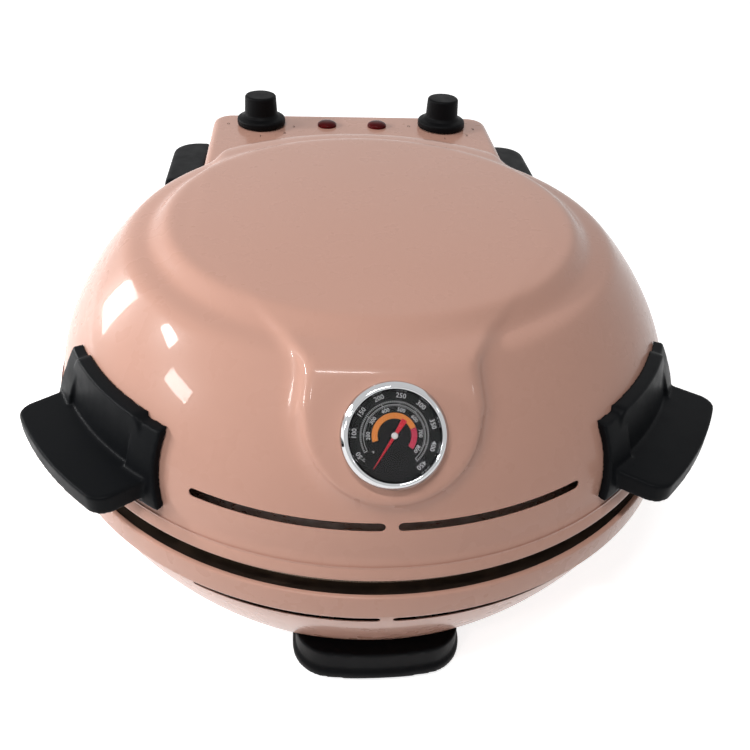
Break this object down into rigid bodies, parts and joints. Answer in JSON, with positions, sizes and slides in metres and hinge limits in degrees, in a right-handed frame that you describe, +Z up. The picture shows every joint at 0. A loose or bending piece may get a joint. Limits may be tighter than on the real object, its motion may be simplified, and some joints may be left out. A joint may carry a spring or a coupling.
{
  "type": "electric pizza oven",
  "caption": "Round countertop electric pizza oven with a domed lid hinged at the back, side handles, rear control box with knobs, front thermometer and baking stone.",
  "frame": {"origin": "on the surface it stands on, below the middle of its overall box; the round casing is centred 26.5 mm in front of it", "axes": "+Z up, front towards -Y, +X to the right seen from the front"},
  "size_m": [0.344, 0.397, 0.1862],
  "materials": {
    "pink_enamel": "gloss enamel",
    "reflector": "brushed",
    "plain_steel": "zinc plated",
    "dark_steel": "black powder coat",
    "element_tube": "heat darkened steel",
    "white_ceramic": "unglazed",
    "switch_body": "moulded",
    "dial_black": "satin print",
    "needle_red": "satin",
    "clear_glass": "polished",
    "bright_chrome": "polished",
    "black_plastic": "satin moulded",
    "red_lens": "gloss",
    "bush_brass": "turned",
    "baking_clay": "fired cordierite",
    "black_rubber": "matte"
  },
  "bodies": {
    "base": {"base_shell": "pink_enamel", "base_liner": "reflector", "chamber_ring": "reflector", "lower_clips": "reflector", "lower_element": "element_tube", "lower_insulators": "white_ceramic", "baking_stone": "baking_clay", "hinge_bracket": "dark_steel", "bracket_screws": "plain_steel", "hinge_pins": "plain_steel", "hinge_clips": "plain_steel", "hinge_cover_left": "black_plastic", "hinge_cover_right": "black_plastic", "feet": "black_plastic", "foot_pads": "black_rubber", "foot_screws": "plain_steel", "bottom_cover": "dark_steel", "bottom_cover_screws": "plain_steel"},
    "lid": {"lid_shell": "pink_enamel", "lid_liner": "reflector", "upper_clips": "reflector", "upper_element": "element_tube", "upper_insulators": "white_ceramic", "thermometer_case": "plain_steel", "thermometer_dial": "dial_black", "thermometer_lens": "clear_glass", "thermometer_bezel": "bright_chrome", "thermometer_nut": "plain_steel", "handle_left": "black_plastic", "handle_right": "black_plastic", "handle_screws": "plain_steel", "box_floor": "plain_steel", "box_floor_screws": "plain_steel", "thermostat_left": "switch_body", "thermostat_right": "switch_body", "thermostat_nuts": "plain_steel", "lamp_lenses": "red_lens", "lamp_holders": "white_ceramic", "terminal_block": "white_ceramic", "cord_gland": "black_plastic", "hinge_bushes": "bush_brass"},
    "left_knob": {"knob_left": "black_plastic", "shaft_left": "plain_steel"},
    "right_knob": {"knob_right": "black_plastic", "shaft_right": "plain_steel"},
    "needle": {"thermometer_needle": "needle_red"}
  },
  "joints": [
    {"name": "lid_hinge", "type": "hinge", "parent": "base", "child": "lid", "pos_m": [0, 0.1655, 0.118], "axis": [-1, 0, 0], "range_deg": [0, 95]},
    {"name": "left_knob_turn", "type": "hinge", "parent": "lid", "child": "left_knob", "pos_m": [-0.065, 0.1695, 0.16], "axis": [0, 0, -1], "range_deg": [0, 270]},
    {"name": "right_knob_turn", "type": "hinge", "parent": "lid", "child": "right_knob", "pos_m": [0.065, 0.1695, 0.16], "axis": [0, 0, -1], "range_deg": [0, 270]},
    {"name": "needle_turn", "type": "hinge", "parent": "lid", "child": "needle", "pos_m": [0, -0.174, 0.1565], "axis": [0, 0.809, -0.5878], "range_deg": [0, 285], "stiffness_Nm_per_rad": 0.0002}
  ]
}
